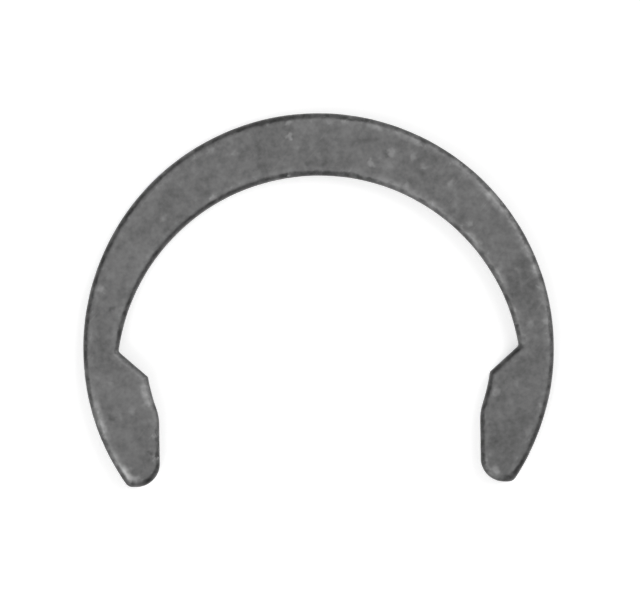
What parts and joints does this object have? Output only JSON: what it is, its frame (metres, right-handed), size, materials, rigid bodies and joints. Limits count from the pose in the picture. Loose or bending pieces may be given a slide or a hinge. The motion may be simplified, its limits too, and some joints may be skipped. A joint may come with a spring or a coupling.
{
  "type": "c-clip retaining ring",
  "caption": "Flat C-shaped spring-steel retaining ring, pushed sideways onto a shaft so that its back and prongs seat in a groove.",
  "frame": {"origin": "on the axis of the shaft that the clip fits, level with the clip's lower face", "axes": "+Z along the shaft axis, out of the upper face that has the die roll; +Y towards the middle of the back, so the mouth opens towards -Y; +X across the prongs"},
  "size_m": [0.0114, 0.009, 0.0006],
  "materials": {
    "spring_steel": "dull dark grey phosphate on stamped and tumbled spring steel, thinned to brighter metal along the rolled edges"
  },
  "bodies": {
    "root": {"clip": "spring_steel"}
  },
  "joints": []
}
